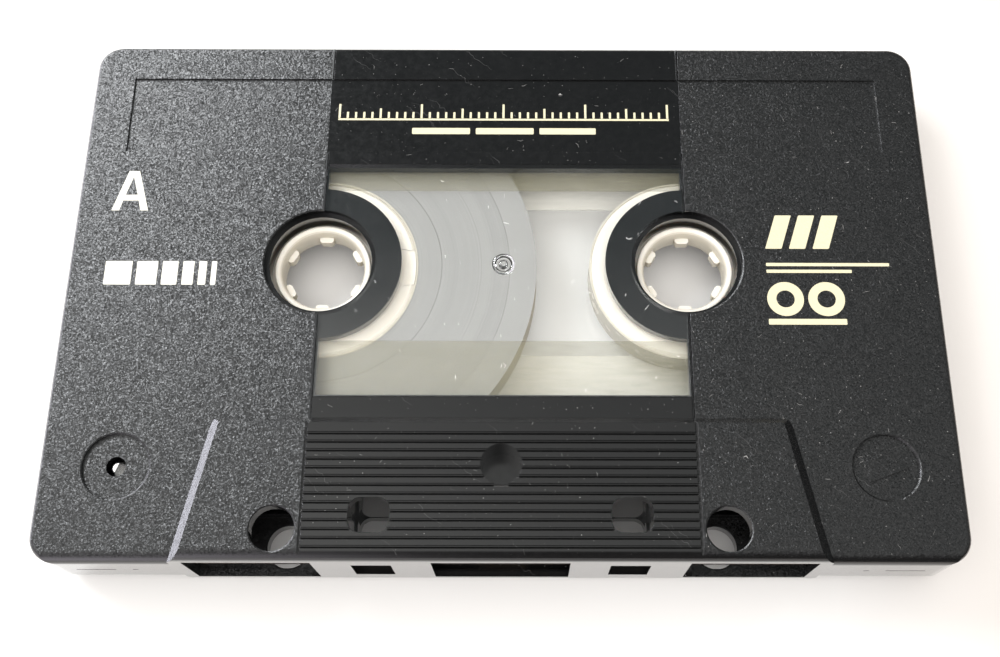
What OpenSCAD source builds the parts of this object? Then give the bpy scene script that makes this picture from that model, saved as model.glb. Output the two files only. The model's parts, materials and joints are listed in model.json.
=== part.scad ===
// Compact audio cassette. Origin: middle of the outline, on the lower face of the head block.
// +X runs to the right of side A, +Y away from the tape edge, +Z out of side A.
// Each shell half is modelled with its joint plane at z = 0 and its outer face up.

/* [Body] */
// Width of the body
body_w = 100.4; // [100:0.1:101]
// Depth of the body, from the tape edge to the back edge
body_d = 63.8; // [63.4:0.1:64.2]
// Thickness of the body away from the head block
body_t = 8.7; // [8.5:0.1:8.9]
// Radius of the body's four corners in plan
corner_r = 2.9; // [2.5:0.1:3.5]
// Radius of the side and back edges
edge_r = 0.6; // [0.3:0.1:0.9]
// Radius of the front edge
front_r = 1.2; // [0.8:0.1:1.4]
// Thickness of the side and back walls
wall = 1.3; // [1.1:0.1:1.5]
// Thickness of the front wall
front_wall = 0.9; // [0.85:0.05:1]
// Half the height of the space for the reels
reel_room = 2.6; // [2.5:0.05:2.7]

/* [Head block] */
// Thickness of the head block
block_t = 12; // [11.8:0.1:12.2]
// Half the width of the block's foot at its back corners
block_back_x = 31.79; // [31.5:0.05:32]
// Half the width of the block's foot at the tape edge
block_front_x = 35.2; // [35:0.05:35.4]
// Distance of the block's back foot in front of the middle
block_back_y = 16; // [15.8:0.05:16.2]
// How far the block's sides lean in
side_run = 1.27; // [1:0.05:1.4]
// How far the block's back leans in
back_run = 0.95; // [0.7:0.05:1.1]
// Radius of the block's back corners
block_corner_r = 1.6; // [1:0.1:2]
// Half the height of the space for the heads
head_room = 4.4; // [4.3:0.05:4.5]
// Number of grooves across the block
ridge_count = 14; // [10:1:14]
// Distance between the grooves
ridge_pitch = 0.95; // [0.9:0.01:0.97]

/* [Face details] */
// Distance from the middle to the long grooves beside the middle strip
groove_x = 21.15; // [21:0.05:21.4]
// Width of the long grooves
groove_w = 0.32; // [0.2:0.02:0.4]
// Depth of the long grooves and of the label recess
groove_depth = 0.2; // [0.15:0.01:0.25]
// Half the width of the label recess
label_x = 45.35; // [45:0.05:45.6]
// Front edge of the label recess
label_front_y = 17.2; // [17:0.05:17.5]
// Back edge of the label recess
label_back_y = 27.3; // [27:0.05:27.5]
// Distance from the middle to the marker discs
disc_x = 41.85; // [41.5:0.05:42]
// Distance of the marker discs in front of the middle
disc_y = 21.5; // [21:0.05:22]
// Radius of the marker discs
disc_r = 3.64; // [3.4:0.02:3.8]

/* [Holes] */
// Half the distance between the two capstan holes
capstan_x = 24.1; // [24:0.05:24.3]
// Distance of the capstan holes in front of the middle
capstan_y = 28.6; // [28.4:0.05:28.7]
// Radius of the capstan holes
capstan_r = 2.4; // [2.35:0.01:2.45]
// Half the distance between the two locating holes
locate_x = 13.97; // [13.95:0.01:14]
// Distance of the locating holes in front of the middle
locate_y = 27.13; // [27.1:0.01:27.2]
// Width of a locating hole
locate_w = 4.45; // [4.4:0.01:4.5]
// Height of a locating hole
locate_d = 3.75; // [3.7:0.01:3.8]
// Distance of the centre pocket in front of the middle
pocket_y = 21.6; // [21.5:0.05:21.7]
// Radius of the centre pocket
pocket_r = 2.25; // [2.2:0.01:2.3]
// Depth of the centre pocket
pocket_depth = 4.3; // [4:0.1:4.4]

/* [Tape edge] */
// Half the width of the middle opening
middle_gap_x = 7.4; // [7.2:0.05:7.5]
// Near and far edge of the small openings
small_gap_x = [11.75, 16.05]; // [11:0.05:17]
// Near and far edge of the pinch roller openings
pinch_gap_x = [20.2, 33.8]; // [20:0.05:34]
// Half the height of the large openings
gap_h = 4.2; // [4.1:0.05:4.3]
// Half the height of the small openings
small_gap_h = 2.7; // [2.6:0.05:2.8]

/* [Window] */
// Half the width of the window plates
window_x = 20.98; // [20.9:0.01:21]
// Front edge of the window plates, in front of the middle
window_front_y = 13.5; // [13.4:0.05:13.6]
// Back edge of the window plates
window_back_y = 15.5; // [15.4:0.05:15.6]
// Thickness of the window plates
window_t = 0.7; // [0.6:0.05:0.8]
// Radius of the black rings round the hub holes
ring_r = 9.45; // [9.3:0.05:9.6]

/* [Reels] */
// Distance from one hub's axis to the other's
hub_pitch = 42.5; // [42.4:0.05:42.6]
// Distance of the hub axes behind the middle
hub_y = 2.925; // [2.9:0.005:2.95]
// Radius of the hub holes at the outer face
hub_hole_r = 6.44; // [6.4:0.01:6.5]
// Radius of the collar inside a hub hole
hub_seat_r = 5.95; // [5.9:0.01:6]
// Radius of a hub's rim, where the tape winds on
hub_r = 11; // [10.9:0.05:11.1]
// Radius of a hub's locating ring
hub_ring_r = 5.6; // [5.5:0.05:5.7]
// Radius of a hub's bore between its teeth
hub_bore_r = 4.7; // [4.6:0.05:4.8]
// Radius at the tips of the hub's teeth
tooth_tip_r = 4; // [3.9:0.05:4.1]
// Width of a tooth
tooth_w = 1.65; // [1.5:0.05:1.8]
// Radius of the full tape pack
pack_r = 25.1; // [24.5:0.1:25.2]
// Width of the tape
tape_w = 3.81; // [3.78:0.01:3.84]

/* [Tape guides] */
// Distance from the middle to a guide roller's axis
roller_x = 46; // [45.9:0.05:46.1]
// Distance of the guide rollers in front of the middle
roller_y = 28.4; // [28.35:0.01:28.42]
// Radius of a guide roller's barrel
roller_r = 2.35; // [2.3:0.05:2.4]
// Radius of a guide roller's flanges
flange_r = 2.6; // [2.5:0.05:2.62]
// Radius of a roller pin
pin_r = 0.8; // [0.7:0.05:0.9]
// Thickness drawn for the free run of tape
web_t = 0.12; // [0.1:0.01:0.14]

/* [Hidden] */

$fn = 96;
cut = 0.5;
half_t = body_t / 2;
half_block = block_t / 2;
joint_z = half_block;
front_y = -body_d / 2;
back_y = body_d / 2;
side_x = body_w / 2;
hub_x = hub_pitch / 2;
inner_front_y = front_y + front_wall;
bay_back_y = -25.2;
fit_gap = 0.02;
running_gap = 0.05;

// Screws: the front pair under the marker discs, the back pair in the back corners
screw_spots = [[-disc_x, -disc_y], [disc_x, -disc_y], [-46.2, 28.1], [46.2, 28.1]];
screw_r = 0.95;
screw_hole_r = 1.08;
screw_boss_r = 2.2;
screw_head_r = 1.85;
screw_head_t = 1.1;
screw_seat_z = 2.75;
screw_tip_z = 3.45;
pilot_top_z = 3.55;

// Slip sheet
sheet_t = 0.12;
sheet_top_z = reel_room - 0.01;
sheet_cut_y = 3.2;
sheet_cut_half = 9.58;

// Reel collars
seat_t = 0.85;
collar_low_z = 2.25;
collar_r = 7.1;
lip_low_z = 1.35;
lip_r = 6.4;

// Hubs: rim, locating ring inside the shells' lips, groove between them, and teeth in the middle
hub_core_z = 2.1;
hub_ring_z = 1.9;
hub_groove_z = 0.9;
hub_groove_r = 8;
throat_z = 0.5;
flare_r = 0.6;
tooth_z = 0.55;
tooth_corner = 0.25;
clamp_w = 5;
clamp_in_r = 8.6;
leader_turns_t = 0.22;

// Walls round the packs
arc_in_r = 26.3;
arc_out_r = 27.3;

// Back edge: write-protect tabs and tape-type notches
tab_x = 40.6;
tab_w = 5.6;
tab_top_z = 2.3;
tab_depth = 3.8;
tab_skin = 0.8;
slit = 0.35;
type_notch_x = 34.2;
type_notch_w = 5.4;
type_notch_depth = 3.6;
cell_wall = 0.9;
peg_x = 8;
peg_y = 29.3;

// Pressure pad and shield
pad_w = 5.4;
pad_h = 3.6;
pad_clear = 0.06;
pad_back_y = -28.6;
spring_t = 0.15;
spring_h = 4.6;
shield_y = -26.3;
shield_t = 0.35;
shield_half_w = 10.2;
shield_h = 8.76;

// Tape path: inner face of the tape's run along the front, and its wrap round a roller
turn_r = roller_r + running_gap;
web_y = roller_y + turn_r;
rib_clear = 0.15;
web_clear = 0.15;

function reversed(points) = [for (i = [len(points) - 1 : -1 : 0]) points[i]];
function upside_down(points) = [for (p = points) [p[0], -p[1]]];
// Mirror images across x = 0, last point first
function mirrored(points) = [for (p = reversed(points)) [-p[0], p[1]]];
function both_sides(half) = concat(half, mirrored(half));
// One side of the tape path, off its inner face: off a reel, then round the guide roller to the front
function run_points(reel_r, off) =
    let (
        reel = [-hub_x, hub_y],
        roller = [-roller_x, -roller_y],
        way = roller - reel,
        start = atan2(way[1], way[0]) - acos((reel_r - turn_r) / norm(way)) + 360,
        step = (270 - start) / 14
    )
    concat(
        [reel + (reel_r + off) * [cos(start), sin(start)]],
        [for (k = [0 : 14]) roller + (turn_r + off) * [cos(start + k * step), sin(start + k * step)]]
    );
function block_x(y) =
    block_back_x + (block_front_x - block_back_x) * (-block_back_y - y) / (-block_back_y - front_y);

// ---------- Shell outer form ----------

module round_corner_slab(w, d, h, r, e) {
    // A slab with round corners r, and its upper edge rounded by e
    for (sx = [-1, 1], sy = [-1, 1]) {
        translate([sx * (w / 2 - r), sy * (d / 2 - r), 0])
            rotate_extrude()
                edge_profile(r, h, e);
    }
    for (a = [0, 1]) {
        long = a == 0 ? w : d;
        wide = a == 0 ? d : w;
        rotate([0, 0, 90 * a])
            translate([-long / 2 + r, 0, 0])
                rotate([90, 0, 90])
                    linear_extrude(long - 2 * r)
                        for (s = [0, 1]) mirror([s, 0]) edge_profile(wide / 2, h, e);
    }
}

module edge_profile(w, h, e) {
    // Right half of a section: w wide, h high, upper right corner rounded by e
    square([w, h - e]);
    square([w - e, h]);
    translate([w - e, h - e]) intersection() {
        circle(e);
        square(e);
    }
}

module front_rounding(h) {
    // Everything behind a front face whose upper edge is rounded
    translate([-side_x - 1, 0, 0])
        rotate([90, 0, 90])
            linear_extrude(body_w + 2)
                translate([back_y + 1, 0])
                    mirror([1, 0])
                        edge_profile(body_d + 1, h, front_r);
}

module body_slab() {
    intersection() {
        round_corner_slab(body_w, body_d, half_t, corner_r, edge_r);
        front_rounding(half_t);
    }
}

module head_block() {
    intersection() {
        difference() {
            linear_extrude(half_block) block_outline();
            for (s = [0, 1]) mirror([s, 0, 0]) block_side_slope();
            block_back_slope();
        }
        front_rounding(half_block);
    }
}

module block_outline() {
    // Trapezoid foot with round back corners
    difference() {
        polygon([
            [-block_x(-block_back_y), -block_back_y], [block_x(-block_back_y), -block_back_y],
            [block_x(front_y), front_y], [-block_x(front_y), front_y]
        ]);
        for (s = [0, 1]) mirror([s, 0]) block_corner_cut();
    }
}

module block_corner_cut() {
    // Takes the corner off, outside a circle that touches both edges
    lean = atan2(block_front_x - block_back_x, -block_back_y - front_y);
    foot = block_corner_r * tan((90 - lean) / 2);
    corner = [block_back_x, -block_back_y];
    middle = corner + [-foot, -block_corner_r];
    side = corner + foot * [sin(lean), -cos(lean)];
    difference() {
        polygon([corner + [0.3, 0.3], corner + [-foot, 0.3], middle, side, side + [0.5, 0]]);
        translate(middle) circle(block_corner_r);
    }
}

module block_side_slope() {
    lean = atan2(block_front_x - block_back_x, -block_back_y - front_y);
    slope = atan2(side_run, half_block - half_t);
    translate([block_back_x, -block_back_y, half_t])
        rotate([0, 0, lean])
            rotate([0, -slope, 0])
                translate([0, -30, -4])
                    cube([8, 40, 12]);
}

module block_back_slope() {
    slope = atan2(back_run, half_block - half_t);
    translate([0, -block_back_y, half_t])
        rotate([slope, 0, 0])
            translate([-50, 0, -4])
                cube([100, 8, 12]);
}

// ---------- Shell cuts ----------

module reel_space() {
    x = side_x - wall;
    y = back_y - wall;
    r = corner_r - wall;
    translate([0, 0, -cut]) linear_extrude(reel_room + cut) union() {
        translate([-x + r, inner_front_y]) square([2 * (x - r), y - inner_front_y]);
        translate([-x, inner_front_y + r]) square([2 * x, y - inner_front_y - 2 * r]);
        for (sx = [-1, 1]) {
            translate([sx * (x - r), y - r]) circle(r);
            translate([sx * (x - r), inner_front_y + r]) circle(r);
            // Relief in the front wall for the guide roller
            translate([sx * roller_x, -roller_y]) circle(flange_r + 0.2);
        }
    }
}

module head_space() {
    depth = bay_back_y - inner_front_y;
    translate([0, 0, -cut]) linear_extrude(head_room + cut) {
        translate([-10.7, inner_front_y]) square([21.4, depth]);
        for (s = [0, 1]) mirror([s, 0]) {
            translate([small_gap_x[0] - 0.1, inner_front_y])
                square([small_gap_x[1] - small_gap_x[0] + 0.2, depth]);
            polygon([
                [18.4, inner_front_y], [pinch_gap_x[1] - 0.1, inner_front_y],
                [32.1, bay_back_y], [18.4, bay_back_y]
            ]);
        }
    }
}

module front_gaps() {
    translate([-middle_gap_x, front_y - cut, -cut])
        cube([2 * middle_gap_x, front_wall + 2 * cut, gap_h + cut]);
    for (s = [0, 1]) mirror([s, 0, 0]) {
        translate([small_gap_x[0], front_y - cut, -cut])
            cube([small_gap_x[1] - small_gap_x[0], front_wall + 2 * cut, small_gap_h + cut]);
        translate([pinch_gap_x[0], front_y - cut, -cut])
            cube([pinch_gap_x[1] - pinch_gap_x[0], front_wall + 2 * cut, gap_h + cut]);
    }
}

module locating_outline() {
    r = 1.3;
    square([locate_w, locate_d - 2 * r], center = true);
    square([locate_w - 2 * r, locate_d], center = true);
    for (sx = [-1, 1], sy = [-1, 1])
        translate([sx * (locate_w / 2 - r), sy * (locate_d / 2 - r)]) circle(r);
}

module block_holes() {
    for (s = [-1, 1]) {
        translate([s * capstan_x, -capstan_y, -cut])
            cylinder(r = capstan_r, h = half_block + 2 * cut);
        translate([s * locate_x, -locate_y, -cut])
            linear_extrude(half_block + 2 * cut)
                locating_outline();
    }
    translate([0, -pocket_y, half_block - pocket_depth])
        cylinder(r = pocket_r, h = pocket_depth + cut);
}

module hub_holes() {
    for (s = [-1, 1]) translate([s * hub_x, hub_y, 0]) {
        cylinder(r = hub_seat_r, h = half_t + cut);
        translate([0, 0, reel_room + seat_t]) cylinder(r = hub_hole_r, h = half_t);
    }
}

module window_recess() {
    gap = 0.06;
    translate([-window_x - gap, -window_front_y - gap, half_t - window_t])
        cube([2 * (window_x + gap), window_front_y + window_back_y + 2 * gap, window_t + cut]);
}

module window_cutout() {
    // See-through opening under the window plate, leaving a black ring round each hub hole
    side = 0.12;
    ledge = 0.3;
    translate([0, 0, -cut]) difference() {
        translate([-window_x + side, -window_front_y + ledge, 0])
            cube([2 * (window_x - side), window_front_y + window_back_y - 2 * ledge, half_t]);
        for (s = [-1, 1])
            translate([s * hub_x, hub_y, -cut]) cylinder(r = ring_r, h = half_t + 2 * cut);
    }
}

module long_grooves() {
    for (s = [-1, 1]) {
        long_groove(s * groove_x, back_y + cut, back_y + cut + block_back_y + 0.2, half_t);
        long_groove(s * groove_x, front_y + 0.35 + body_d / 4, body_d / 4, half_block);
    }
}

module long_groove(x, far_y, length, top_z) {
    // Leaning walls and a narrow floor
    floor_w = 0.06;
    translate([x, far_y, top_z]) rotate([90, 0, 0]) linear_extrude(length) polygon([
        [-floor_w / 2, -groove_depth], [floor_w / 2, -groove_depth], [groove_w / 2, 0],
        [groove_w / 2, 1], [-groove_w / 2, 1], [-groove_w / 2, 0]
    ]);
}

module label_recess() {
    translate([-label_x, label_front_y, half_t - groove_depth])
        cube([2 * label_x, label_back_y - label_front_y, 1]);
}

module ridge_cuts() {
    // Fine grooves with one steep and one gentle wall
    depth = 0.2;
    for (i = [0 : ridge_count - 1])
        translate([-groove_x, -18.02 - i * ridge_pitch, half_block])
            rotate([90, 0, 90])
                linear_extrude(2 * groove_x)
                    polygon([[0.02, 0.1], [0, -depth], [-0.12, -depth], [-0.38, 0], [-0.38, 0.1]]);
}

module marker_discs() {
    depth = 0.3;
    for (s = [-1, 1])
        translate([s * disc_x, -disc_y, half_t - depth]) cylinder(r = disc_r, h = 1);
}

module play_triangle() {
    translate([disc_x, -disc_y, half_t - 0.5])
        linear_extrude(0.42)
            polygon([[-2.05, 1.67], [-2.05, -1.67], [2.44, 0]]);
}

module tape_edge_marks() {
    // Short vents in the parting line beside the head block
    for (s = [0, 1]) mirror([s, 0, 0]) {
        translate([41.8, front_y - cut, -cut]) cube([4.3, cut + 0.25, cut + 0.12]);
        translate([39.4, front_y - cut, -cut]) cube([0.6, cut + 0.25, cut + 0.12]);
    }
}

module back_edge_cells() {
    // Solid cells that hold the tab pockets and the tape-type notches
    for (s = [-1, 1]) {
        x1 = type_notch_x - type_notch_w / 2 - cell_wall;
        x2 = tab_x + tab_w / 2 + cell_wall;
        translate([s > 0 ? x1 : -x2, back_y - wall - tab_depth, 0])
            cube([x2 - x1, tab_depth + 0.2, reel_room + 0.2]);
    }
}

module back_edge_cuts() {
    for (s = [0, 1]) mirror([s, 0, 0])
        // Notch that tells the deck the type of tape
        translate([type_notch_x - type_notch_w / 2, back_y - type_notch_depth, -cut])
            cube([type_notch_w, type_notch_depth + 1, tab_top_z + cut]);
    // Pocket behind the tab that this half carries, with a slit on each side of the tab
    translate([tab_x - tab_w / 2, back_y - tab_depth, -cut])
        cube([tab_w, tab_depth - tab_skin, tab_top_z + cut]);
    for (side = [-1, 1])
        translate([tab_x + side * (tab_w - slit) / 2 - slit / 2, back_y - tab_depth, -cut])
            cube([slit, tab_depth + 1, tab_top_z + cut]);
    // Open pocket where the other half's tab reaches in
    translate([-tab_x - tab_w / 2, back_y - tab_depth, -cut])
        cube([tab_w, tab_depth + 1, tab_top_z + cut]);
}

module tab_end() {
    // The write-protect tab goes on past the joint plane into the other half's pocket
    reach = tab_top_z - slit;
    translate([tab_x - tab_w / 2 + slit, back_y - tab_skin, -reach])
        cube([tab_w - 2 * slit, tab_skin, reach + 0.3]);
}

// ---------- Shell inner walls ----------

module pack_walls() {
    for (s = [0, 1]) mirror([s, 0, 0])
        translate([-hub_x, hub_y, 0])
            rotate([0, 0, 226])
                rotate_extrude(angle = 84)
                    translate([arc_in_r, 0]) square([arc_out_r - arc_in_r, reel_room + 0.2]);
}

module bay_walls() {
    // Walls that close the head space off from the reels, and the ribs that guide the tape
    rib_front = -web_y + rib_clear;
    rib_d = bay_back_y - rib_front + 0.8;
    for (s = [0, 1]) mirror([s, 0, 0]) {
        translate([10.7, rib_front, 0]) cube([0.95, rib_d, head_room + 0.2]);
        translate([16.4, rib_front, 0]) cube([1.05, rib_d, head_room + 0.2]);
        translate([10.7, bay_back_y, 0]) cube([6.75, 0.8, reel_room + 0.2]);
        translate([34.6, rib_front, 0]) cube([1, rib_d, reel_room + 0.2]);
    }
}

module seat_collars() {
    for (s = [-1, 1])
        translate([s * hub_x, hub_y, 0]) {
            translate([0, 0, collar_low_z])
                cylinder(r = collar_r, h = reel_room - collar_low_z + 0.2);
            translate([0, 0, lip_low_z]) cylinder(r = lip_r, h = reel_room - lip_low_z + 0.2);
        }
}

module screw_bosses() {
    for (p = screw_spots) translate([p[0], p[1], 0]) cylinder(r = screw_boss_r, h = reel_room + 0.2);
}

module pin_bosses() {
    for (s = [-1, 1])
        translate([s * roller_x, -roller_y, 2.25]) cylinder(r = 1.7, h = 0.6);
}

module pin_sockets() {
    for (s = [-1, 1])
        translate([s * roller_x, -roller_y, -cut]) cylinder(r = pin_r + fit_gap, h = 3.2 + cut);
}

module centre_boss() {
    translate([0, -pocket_y, 0]) cylinder(r = pocket_r + 1, h = head_room);
}

module peg_lands() {
    for (s = [-1, 1]) translate([s * peg_x, peg_y, 0]) cylinder(r = 1.7, h = reel_room + 0.2);
}

module locating_peg() {
    translate([-peg_x, peg_y, -0.9]) cylinder(r = 0.8, h = 2);
}

module peg_socket() {
    translate([peg_x, peg_y, -cut]) cylinder(r = 0.85, h = 1.1 + cut);
}

module shell_half() {
    difference() {
        union() {
            difference() {
                union() {
                    body_slab();
                    head_block();
                }
                reel_space();
                head_space();
                marker_discs();
            }
            pack_walls();
            bay_walls();
            seat_collars();
            screw_bosses();
            pin_bosses();
            centre_boss();
            back_edge_cells();
            peg_lands();
            children();
        }
        front_gaps();
        block_holes();
        hub_holes();
        window_recess();
        window_cutout();
        long_grooves();
        label_recess();
        ridge_cuts();
        tape_edge_marks();
        back_edge_cuts();
        pin_sockets();
        peg_socket();
    }
    locating_peg();
    tab_end();
}

module on_side_a() {
    translate([0, 0, joint_z]) children();
}

module on_side_b() {
    translate([0, 0, joint_z]) rotate([0, 180, 0]) children();
}

module shell_a() {
    color([0.13, 0.13, 0.13]) on_side_a() difference() {
        shell_half() play_triangle();
        for (p = screw_spots)
            translate([p[0], p[1], -cut]) cylinder(r = screw_r + fit_gap, h = pilot_top_z + cut);
        // The left front pilot hole comes out in the middle of its marker disc
        translate([-disc_x, -disc_y, -cut]) cylinder(r = screw_hole_r, h = half_t + 2 * cut);
    }
}

module shell_b() {
    // Carries the screw heads in counterbores
    color([0.13, 0.13, 0.13]) on_side_b() difference() {
        shell_half();
        for (p = screw_spots) translate([-p[0], p[1], -cut]) {
            cylinder(r = screw_hole_r, h = half_t + 2 * cut);
            translate([0, 0, screw_seat_z + cut]) cylinder(r = screw_head_r + 0.15, h = 3);
        }
    }
}

// ---------- Window plates and slip sheets ----------

module window_plate() {
    low = half_t - window_t + 0.01;
    difference() {
        union() {
            translate([-window_x, -window_front_y, low])
                cube([2 * window_x, window_front_y + window_back_y, half_t - low]);
            translate([0, 2.52, low - 0.5]) cylinder(r = 0.85, h = 0.6);
        }
        for (s = [-1, 1])
            translate([s * hub_x, hub_y, 0]) cylinder(r = hub_hole_r, h = half_t + cut);
        translate([0, 2.52, half_t - 0.25]) difference() {
            cylinder(r = 1.32, h = 1);
            translate([0, 0, -cut]) cylinder(r = 0.55, h = cut + 0.2);
        }
    }
}

module window_a() {
    color([0.85, 0.87, 0.86, 0.4]) on_side_a() window_plate();
}

module window_b() {
    color([0.85, 0.87, 0.86, 0.4]) on_side_b() window_plate();
}

module slip_sheet() {
    // Film between the shell and the tape edges, open behind the window
    translate([0, 0, sheet_top_z - sheet_t]) linear_extrude(sheet_t) difference() {
        polygon(both_sides([
            [30.9, 27.3], [30.9, 25.4], [48.4, 25.4], [48.4, -24], [44.6, -24],
            [44.6, -10.6], [42.2, -10.9], [36.5, -17], [5.5, -17], [5.5, -16.2]
        ]));
        for (s = [-1, 1]) translate([s * hub_x, hub_y]) circle(collar_r + 0.2);
        translate([-hub_x, sheet_cut_y - sheet_cut_half]) square([hub_pitch, 2 * sheet_cut_half]);
    }
}

module slip_sheet_a() {
    color([0.85, 0.83, 0.78, 0.5]) on_side_a() slip_sheet();
}

module slip_sheet_b() {
    color([0.85, 0.83, 0.78, 0.5]) on_side_b() slip_sheet();
}

// ---------- Reels ----------

module hub() {
    outline = concat(hub_outline(), reversed(upside_down(hub_outline())));
    difference() {
        rotate_extrude() polygon(outline);
        clamp_notch(0);
    }
    for (i = [0 : 5]) rotate([0, 0, 30 + 60 * i]) tooth();
}

// Upper half of the hub's section, from the middle of the bore out to the rim
function hub_outline() = let(bevel = 0.3, edge = 0.1) concat(
    [for (a = [0 : 15 : 90]) [
        hub_bore_r + flare_r * (1 - cos(a)), throat_z + (hub_ring_z - throat_z) * sin(a)
    ]],
    [
        [hub_ring_r - edge, hub_ring_z], [hub_ring_r, hub_ring_z - edge], [hub_ring_r, hub_groove_z],
        [hub_groove_r, hub_groove_z], [hub_groove_r, hub_core_z], [hub_r - bevel, hub_core_z],
        [hub_r, hub_core_z - bevel]
    ]
);

module tooth() {
    w = tooth_w / 2;
    root_r = hub_bore_r + 0.4;
    linear_extrude(2 * tooth_z, center = true) polygon([
        [tooth_tip_r, -w + tooth_corner], [tooth_tip_r + tooth_corner, -w], [root_r, -w],
        [root_r, w], [tooth_tip_r + tooth_corner, w], [tooth_tip_r, w - tooth_corner]
    ]);
}

module clamp_notch(gap) {
    // Notch in the rim, wider inside than at the rim, where the clamp grips the leader
    translate([0, 0, -hub_core_z - 1]) linear_extrude(2 * hub_core_z + 2)
        polygon([
            [clamp_in_r + gap, -clamp_w / 2 + gap], [hub_r + 1, -clamp_w / 2 + 0.6 + gap],
            [hub_r + 1, clamp_w / 2 - 0.6 - gap], [clamp_in_r + gap, clamp_w / 2 - gap]
        ]);
}

module hub_clamp() {
    intersection() {
        clamp_notch(fit_gap);
        cylinder(r = hub_r, h = 2 * hub_core_z - 0.1, center = true);
    }
}

module ring(inner, outer, h) {
    difference() {
        cylinder(r = outer, h = h, center = true);
        cylinder(r = inner, h = h + 2, center = true);
    }
}

module supply_hub() {
    color([0.93, 0.91, 0.86]) translate([-hub_x, hub_y, joint_z]) hub();
}

module takeup_hub() {
    color([0.93, 0.91, 0.86]) translate([hub_x, hub_y, joint_z]) hub();
}

module supply_clamp() {
    color([0.9, 0.88, 0.82]) translate([-hub_x, hub_y, joint_z]) hub_clamp();
}

module takeup_clamp() {
    color([0.9, 0.88, 0.82]) translate([hub_x, hub_y, joint_z]) hub_clamp();
}

module tape_pack() {
    color([0.33, 0.29, 0.26]) translate([-hub_x, hub_y, joint_z])
        ring(hub_r + leader_turns_t + 0.02, pack_r, tape_w);
}

module supply_leader() {
    color([0.9, 0.87, 0.78, 0.8]) translate([-hub_x, hub_y, joint_z])
        ring(hub_r + 0.01, hub_r + leader_turns_t, tape_w);
}

module takeup_leader() {
    color([0.9, 0.87, 0.78, 0.8]) translate([hub_x, hub_y, joint_z])
        ring(hub_r + 0.01, hub_r + leader_turns_t, tape_w);
}

// ---------- Tape path ----------

module tape_run() {
    // From the supply reel round both guide rollers to the take-up reel
    left = pack_r + web_clear;
    right = hub_r + leader_turns_t + web_clear;
    color([0.72, 0.66, 0.56, 0.8]) translate([0, 0, joint_z - tape_w / 2]) linear_extrude(tape_w)
        polygon(concat(
            run_points(left, web_t), mirrored(run_points(right, web_t)),
            reversed(mirrored(run_points(right, 0))), reversed(run_points(left, 0))
        ));
}

// ---------- Guide rollers ----------

module guide_roller() {
    difference() {
        union() {
            cylinder(r = roller_r, h = 4.2, center = true);
            for (s = [-1, 1])
                translate([0, 0, s * 2.06]) cylinder(r = flange_r, h = 0.2, center = true);
        }
        cylinder(r = pin_r + running_gap, h = 6, center = true);
    }
}

module left_guide_roller() {
    color([0.92, 0.9, 0.85]) translate([-roller_x, -roller_y, joint_z]) guide_roller();
}

module right_guide_roller() {
    color([0.92, 0.9, 0.85]) translate([roller_x, -roller_y, joint_z]) guide_roller();
}

module roller_pin() {
    cylinder(r = pin_r, h = 6.3, center = true);
}

module left_roller_pin() {
    color("silver") translate([-roller_x, -roller_y, joint_z]) roller_pin();
}

module right_roller_pin() {
    color("silver") translate([roller_x, -roller_y, joint_z]) roller_pin();
}

// ---------- Pressure pad, shield and screws ----------

module pad_spring() {
    // Leaf spring: flat behind the pad, with two arms that lean back to the shield
    y0 = pad_back_y;
    y1 = shield_y - spring_t - fit_gap;
    color([0.8, 0.62, 0.36]) translate([0, 0, joint_z - spring_h / 2]) linear_extrude(spring_h)
        polygon(both_sides([
            [3.4, y0], [9.2, y1], [10.3, y1],
            [10.3, y1 + spring_t], [9.15, y1 + spring_t], [3.35, y0 + spring_t]
        ]));
}

module pressure_pad() {
    front = -web_y + pad_clear;
    color([0.62, 0.55, 0.42]) translate([-pad_w / 2, front, joint_z - pad_h / 2])
        cube([pad_w, pad_back_y - front - 0.01, pad_h]);
}

module magnetic_shield() {
    color([0.66, 0.67, 0.68])
        translate([-shield_half_w, shield_y, joint_z - shield_h / 2])
            cube([2 * shield_half_w, shield_t, shield_h]);
}

module case_screw() {
    // Pan head screw with its tip up; the underside of the head is at z = 0
    length = screw_seat_z + screw_tip_z;
    taper = 0.7;
    difference() {
        union() {
            translate([0, 0, -screw_head_t]) cylinder(r1 = screw_head_r - 0.35, r2 = screw_head_r, h = 0.5);
            translate([0, 0, -screw_head_t + 0.5]) cylinder(r = screw_head_r, h = screw_head_t - 0.5);
            cylinder(r = screw_r, h = length - taper);
            translate([0, 0, length - taper]) cylinder(r1 = screw_r, r2 = 0.55, h = taper);
        }
        // Cross recess in the head
        for (a = [0, 90]) rotate([0, 0, a])
            translate([-1.1, -0.22, -screw_head_t - cut]) cube([2.2, 0.44, 0.6 + cut]);
        // Thread-cutting flute on one side of the tip
        rotate([0, 0, -23]) translate([-0.1, -2, length - 2.2]) cube([3, 4, 3]);
    }
}

module case_screws() {
    // Heads sit in the counterbores of shell B
    color("silver") for (p = screw_spots)
        translate([p[0], p[1], joint_z - screw_seat_z]) case_screw();
}

shell_a();
shell_b();
window_a();
window_b();
slip_sheet_a();
slip_sheet_b();
supply_hub();
takeup_hub();
supply_clamp();
takeup_clamp();
tape_pack();
supply_leader();
takeup_leader();
tape_run();
left_guide_roller();
right_guide_roller();
left_roller_pin();
right_roller_pin();
pad_spring();
pressure_pad();
magnetic_shield();
case_screws();
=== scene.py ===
"""Looks for the compact audio cassette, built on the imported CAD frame. All lengths are in metres,
and material patterns are laid out in millimetres of the row frame."""

import json
import math

import bmesh
import bpy
from mathutils import Matrix, Vector, noise
from mathutils.geometry import tessellate_polygon


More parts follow.
